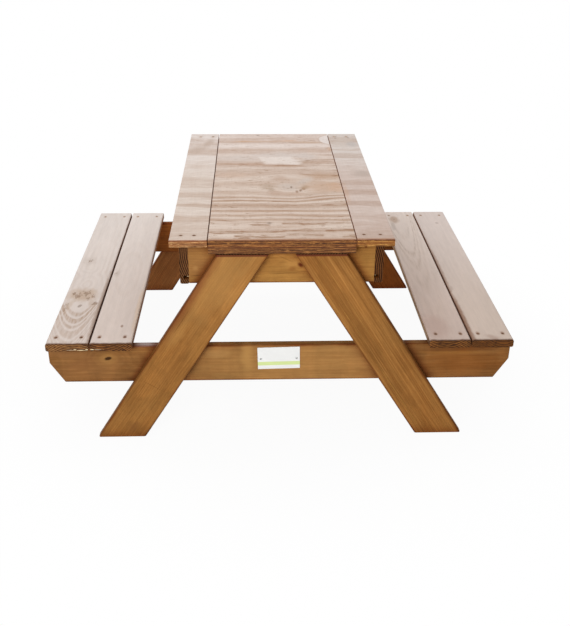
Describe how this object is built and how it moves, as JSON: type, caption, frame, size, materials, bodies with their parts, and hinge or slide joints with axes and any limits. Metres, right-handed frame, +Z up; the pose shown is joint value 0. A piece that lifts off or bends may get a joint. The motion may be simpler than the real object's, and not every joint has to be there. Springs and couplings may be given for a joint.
{
  "type": "child's picnic table with lift-off lid",
  "caption": "Child's A-frame picnic table: two fixed plank benches, and a tabletop whose plywood centre lifts off a shallow grooved play box.",
  "frame": {"origin": "on the floor, under the middle of the table", "axes": "+X to the right across the two benches, +Y from the front end with the name plate to the rear end, +Z up"},
  "size_m": [1.025, 0.792, 0.485],
  "materials": {
    "lid_plywood": "weathered rotary-cut softwood plywood, stained, grain across the table",
    "strip_plywood": "weathered rotary-cut softwood plywood, stained",
    "base_plywood": "thin plywood, oiled",
    "box_timber": "planed softwood with a translucent brown stain",
    "leg_timber": "planed softwood with a translucent brown stain",
    "rail_timber": "planed softwood with a translucent brown stain",
    "bench_timber": "planed softwood with a translucent stain, bleached by light on top",
    "screw_steel": "zinc-plated steel, dulled",
    "plate_white": "white sheet, bare apart from a plain pale green band"
  },
  "bodies": {
    "table": {"top_strip_left": "strip_plywood", "top_strip_right": "strip_plywood", "top_strip_screws": "screw_steel", "box_side_left": "box_timber", "box_side_right": "box_timber", "box_end_front": "box_timber", "box_end_rear": "box_timber", "box_base": "base_plywood", "box_corner_screws": "screw_steel", "leg_front_left": "leg_timber", "leg_front_right": "leg_timber", "leg_rear_left": "leg_timber", "leg_rear_right": "leg_timber", "leg_top_screws": "screw_steel", "leg_rail_screws": "screw_steel", "bench_rail_front": "rail_timber", "bench_rail_rear": "rail_timber", "bench_board_left_outer": "bench_timber", "bench_board_left_inner": "bench_timber", "bench_board_right_outer": "bench_timber", "bench_board_right_inner": "bench_timber", "bench_screws": "screw_steel", "name_plate": "plate_white", "name_plate_screws": "screw_steel"},
    "lid": {"lid_panel": "lid_plywood", "lid_batten_front": "lid_plywood", "lid_batten_rear": "lid_plywood"}
  },
  "joints": [
    {"name": "lid_lift", "type": "slide", "parent": "table", "child": "lid", "axis": [0, 0, 1], "range_m": [0, 0.2]}
  ]
}
